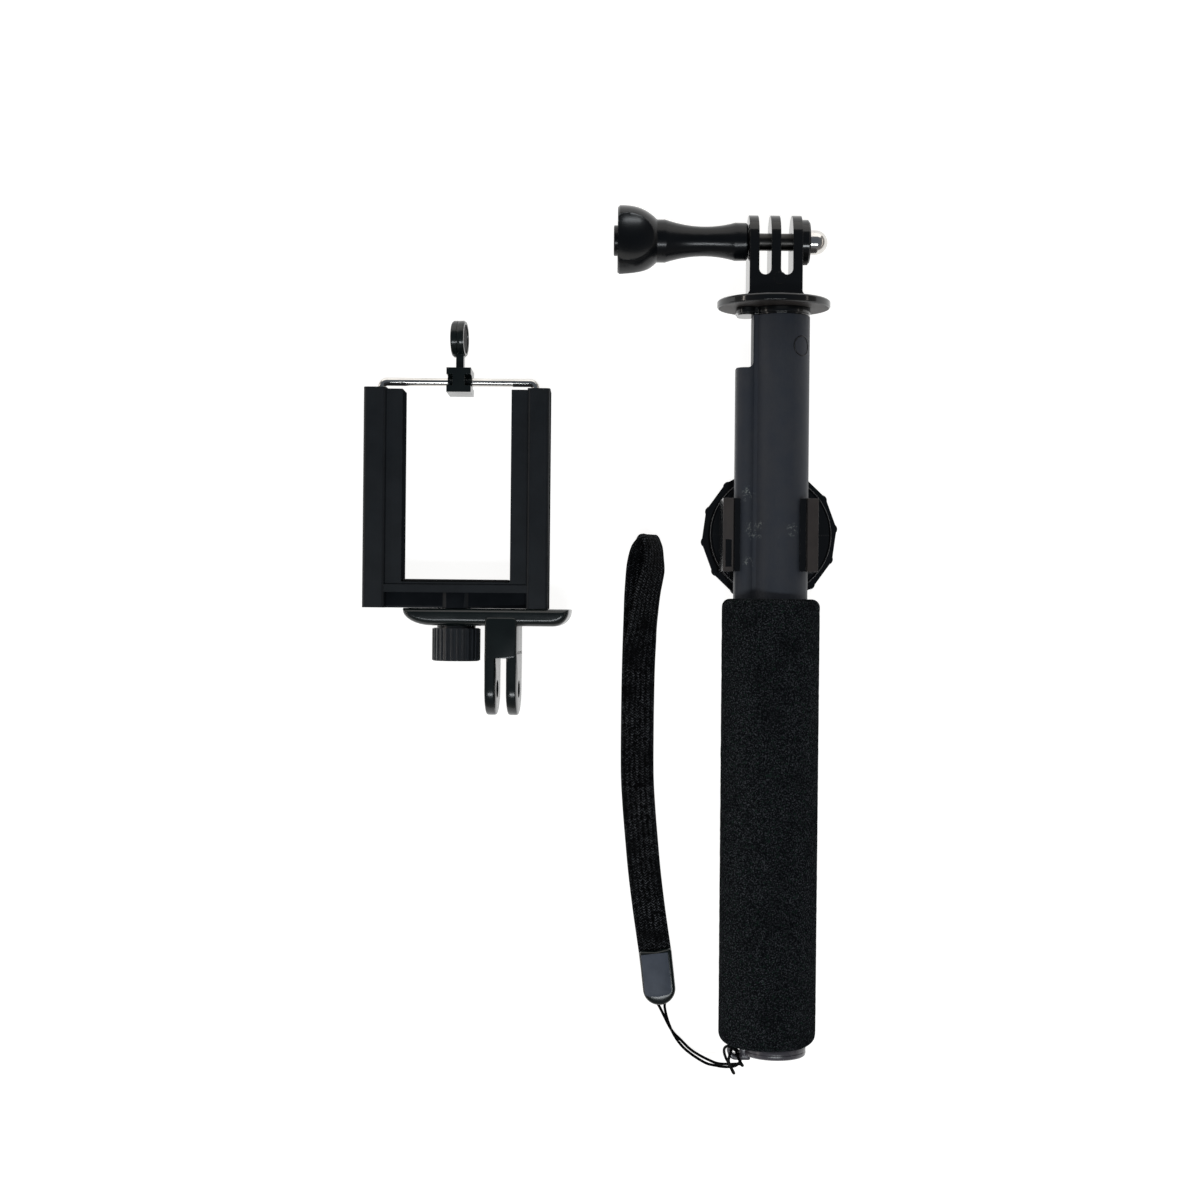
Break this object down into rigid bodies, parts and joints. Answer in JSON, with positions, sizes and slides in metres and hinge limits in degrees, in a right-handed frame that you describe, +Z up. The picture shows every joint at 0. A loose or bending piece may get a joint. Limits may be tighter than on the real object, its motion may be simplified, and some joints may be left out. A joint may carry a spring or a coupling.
{
  "type": "selfie stick",
  "caption": "Telescopic hand-held camera pole with foam grip, wrist loop, mirror clip and pronged screw head, with a detached spring-loaded phone clamp lying beside it.",
  "frame": {"origin": "on the surface it lies on, under the middle of the box around the pole and the phone clamp", "axes": "+Y along the pole towards its camera head, +X from the phone clamp towards the pole, +Z up from the surface"},
  "size_m": [0.1375, 0.2485, 0.0323],
  "materials": {
    "anodised_tube": "dark anodised, satin",
    "bare_tube": "polished tube",
    "foam": "soft closed-cell foam",
    "gloss_black": "gloss moulded",
    "satin_black": "satin moulded",
    "guide_plastic": "natural acetal",
    "chrome": "bright plated",
    "dark_steel": "blackened steel",
    "spring_steel": "spring wire",
    "brass": "turned",
    "pad_rubber": "moulded rubber",
    "slider_grey": "matte moulded",
    "webbing": "woven tape",
    "cord": "fine braided cord",
    "mirror": "silvered",
    "adhesive_foam": "foam tape"
  },
  "bodies": {
    "handle": {"outer_tube": "anodised_tube", "foam_grip": "foam", "end_cap": "gloss_black", "mouth_bush": "guide_plastic", "button_spring": "spring_steel", "lanyard_cord": "cord", "cord_slider": "slider_grey", "wrist_strap": "webbing"},
    "button": {"lock_button": "anodised_tube"},
    "tube_1": {"section_1": "bare_tube", "foot_bush_1": "guide_plastic"},
    "tube_2": {"section_2": "bare_tube", "foot_bush_2": "brass"},
    "tube_3": {"section_3": "bare_tube", "foot_bush_3": "brass"},
    "tube_4": {"section_4": "bare_tube", "foot_bush_4": "brass"},
    "tube_5": {"section_5": "bare_tube", "foot_bush_5": "brass", "top_cap": "gloss_black", "tripod_stud": "dark_steel"},
    "head": {"mount_head": "gloss_black", "head_insert": "brass", "dome_nut": "chrome"},
    "thumb_screw": {"thumb_handle": "satin_black", "handle_cap": "satin_black", "clamp_bolt": "dark_steel"},
    "clip": {"clip_base": "gloss_black", "mirror_disc": "mirror", "mirror_pad": "adhesive_foam"},
    "ring": {"twist_ring": "gloss_black"},
    "clamp": {"clamp_frame": "satin_black", "frame_plugs": "satin_black", "frame_insert": "brass", "base_pad": "pad_rubber"},
    "bail": {"bail_wire": "chrome", "bail_feet": "spring_steel", "bail_springs": "spring_steel"},
    "claw": {"top_claw": "satin_black", "claw_pad": "pad_rubber"},
    "adapter": {"fork_adapter": "gloss_black"},
    "knob": {"thumb_knob": "satin_black", "knob_screw": "dark_steel"}
  },
  "joints": [
    {"name": "button_press", "type": "slide", "parent": "handle", "child": "button", "axis": [-0.6691, 0, -0.7431], "range_m": [0, 0.0008], "stiffness_N_per_m": 600, "deforming": ["button_spring"]},
    {"name": "tube_1_slide", "type": "slide", "parent": "handle", "child": "tube_1", "axis": [0, 1, 0], "range_m": [0, 0.15]},
    {"name": "tube_2_slide", "type": "slide", "parent": "tube_1", "child": "tube_2", "axis": [0, 1, 0], "range_m": [0, 0.15]},
    {"name": "tube_3_slide", "type": "slide", "parent": "tube_2", "child": "tube_3", "axis": [0, 1, 0], "range_m": [0, 0.15]},
    {"name": "tube_4_slide", "type": "slide", "parent": "tube_3", "child": "tube_4", "axis": [0, 1, 0], "range_m": [0, 0.15]},
    {"name": "tube_5_slide", "type": "slide", "parent": "tube_4", "child": "tube_5", "axis": [0, 1, 0], "range_m": [0, 0.15]},
    {"name": "head_turn", "type": "hinge", "parent": "tube_5", "child": "head", "pos_m": [0.0484, 0.0922, 0.01615], "axis": [0, 1, 0], "range_deg": [0, 180]},
    {"name": "thumb_screw_turn", "type": "hinge", "parent": "head", "child": "thumb_screw", "pos_m": [0.0484, 0.11135, 0.01615], "axis": [1, 0, 0], "continuous": true},
    {"name": "clip_slide", "type": "slide", "parent": "handle", "child": "clip", "axis": [0, 1, 0], "range_m": [0, 0.036]},
    {"name": "ring_twist", "type": "hinge", "parent": "clip", "child": "ring", "pos_m": [0.04895, 0.028, 0.001], "axis": [0, 0, 1], "range_deg": [0, 45]},
    {"name": "clamp_lift", "type": "slide", "parent": "handle", "child": "clamp", "axis": [0, 0, 1], "range_m": [0, 0.05]},
    {"name": "bail_slide", "type": "slide", "parent": "clamp", "child": "bail", "axis": [0, 1, 0], "range_m": [0, 0.025], "stiffness_N_per_m": 200, "springref_m": -0.01, "deforming": ["bail_springs"]},
    {"name": "claw_swing", "type": "hinge", "parent": "bail", "child": "claw", "pos_m": [-0.04145, 0.0713, 0.0086], "axis": [1, 0, 0], "range_deg": [0, 100]},
    {"name": "adapter_swivel", "type": "hinge", "parent": "clamp", "child": "adapter", "pos_m": [-0.0419, 0.0009, 0.0086], "axis": [0, 1, 0], "range_deg": [-90, 90]},
    {"name": "knob_turn", "type": "hinge", "parent": "clamp", "child": "knob", "pos_m": [-0.0419, 0.0009, 0.0086], "axis": [0, 1, 0], "continuous": true}
  ]
}
